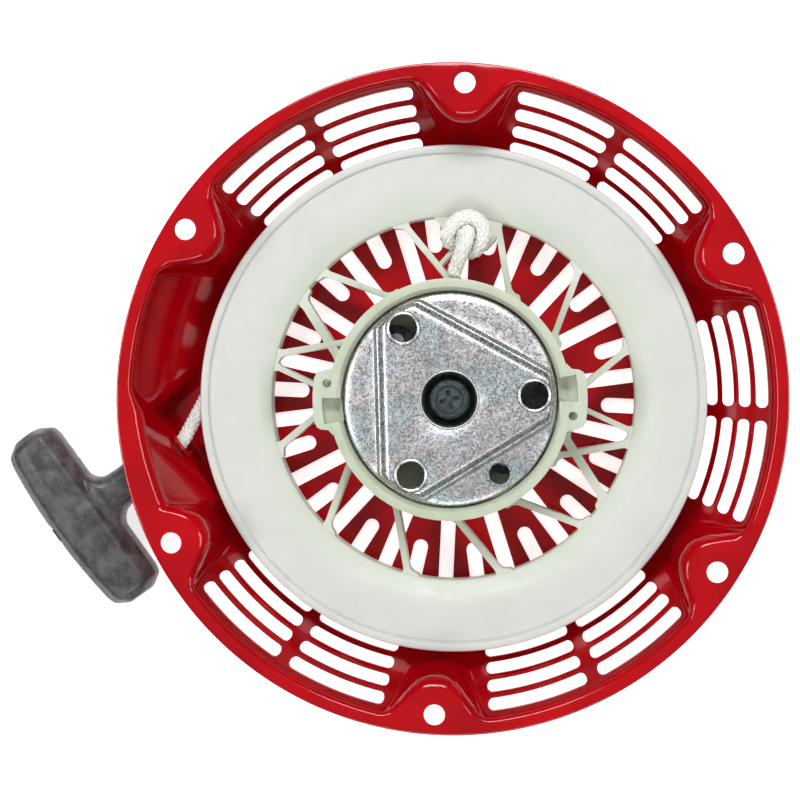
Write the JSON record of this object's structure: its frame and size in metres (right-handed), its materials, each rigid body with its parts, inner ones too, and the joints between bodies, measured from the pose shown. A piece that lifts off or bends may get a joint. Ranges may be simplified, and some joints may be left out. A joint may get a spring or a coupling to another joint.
{
  "type": "recoil starter",
  "caption": "Pull-rope recoil starter for a small engine: slotted pressed bowl, rope reel with ratchet pawls and guide plate, and a T grip.",
  "frame": {"origin": "centre of the bolt circle on the flange face that meets the engine", "axes": "+Z along the reel's axis towards the engine; the rope leaves towards -X -Y; one bolt hole lies on +Y"},
  "size_m": [0.2486, 0.21, 0.0441],
  "materials": {
    "red_enamel": "gloss",
    "zinc_steel": "bright zinc plate",
    "bare_steel": "satin",
    "spring_steel": "blued",
    "black_oxide": "black oxide, oiled",
    "nylon": "moulded satin",
    "guide_nylon": "moulded satin",
    "sintered_bronze": "sintered",
    "rope": "braided",
    "grip_plastic": "moulded satin"
  },
  "bodies": {
    "housing": {"housing_shell": "red_enamel", "centre_post": "bare_steel", "rope_guide": "guide_nylon", "thrust_washer": "bare_steel", "screw_washer": "black_oxide", "centre_screw": "black_oxide", "rope_lead": "rope"},
    "spool": {"reel": "nylon", "reel_bush": "sintered_bronze", "mainspring": "spring_steel", "spring_cover": "nylon", "rope_winding": "rope", "reel_knot": "rope", "pawl_pins": "bare_steel", "pawl_spring_a": "spring_steel", "pawl_spring_b": "spring_steel"},
    "ratchet_guide": {"guide_plate": "zinc_steel", "guide_hub": "black_oxide", "friction_spring": "spring_steel"},
    "pawl_one": {"pawl_a": "black_oxide"},
    "pawl_two": {"pawl_b": "black_oxide"},
    "handle": {"grip_body": "grip_plastic", "grip_washer": "zinc_steel", "grip_cap": "grip_plastic", "grip_knot": "rope"}
  },
  "joints": [
    {"name": "reel_spin", "type": "hinge", "parent": "housing", "child": "spool", "pos_m": [0, 0, -0.026], "axis": [0, 0, 1], "range_deg": [0, 970], "stiffness_Nm_per_rad": 0.012, "springref_deg": -687.55},
    {"name": "handle_pull", "type": "slide", "parent": "housing", "child": "handle", "axis": [-0.7771, -0.6293, 0], "range_m": [0, 1.2], "deforming": ["rope_lead"]},
    {"name": "guide_turn", "type": "hinge", "parent": "spool", "child": "ratchet_guide", "pos_m": [0, 0, -0.002], "axis": [0, 0, 1], "range_deg": [-24, 0], "stiffness_Nm_per_rad": 0.02},
    {"name": "pawl_a_swing", "type": "hinge", "parent": "spool", "child": "pawl_one", "pos_m": [0.01768, -0.01768, -0.0085], "axis": [0, 0, 1], "range_deg": [-28, 0]},
    {"name": "pawl_b_swing", "type": "hinge", "parent": "spool", "child": "pawl_two", "pos_m": [-0.01768, 0.01768, -0.0085], "axis": [0, 0, 1], "range_deg": [-28, 0]}
  ],
  "couplings": [
    {"joint": "handle_pull", "follows": "reel_spin", "m_per_rad": 0.0708},
    {"joint": "pawl_a_swing", "follows": "guide_turn", "ratio": 1.1665},
    {"joint": "pawl_b_swing", "follows": "guide_turn", "ratio": 1.1665}
  ]
}
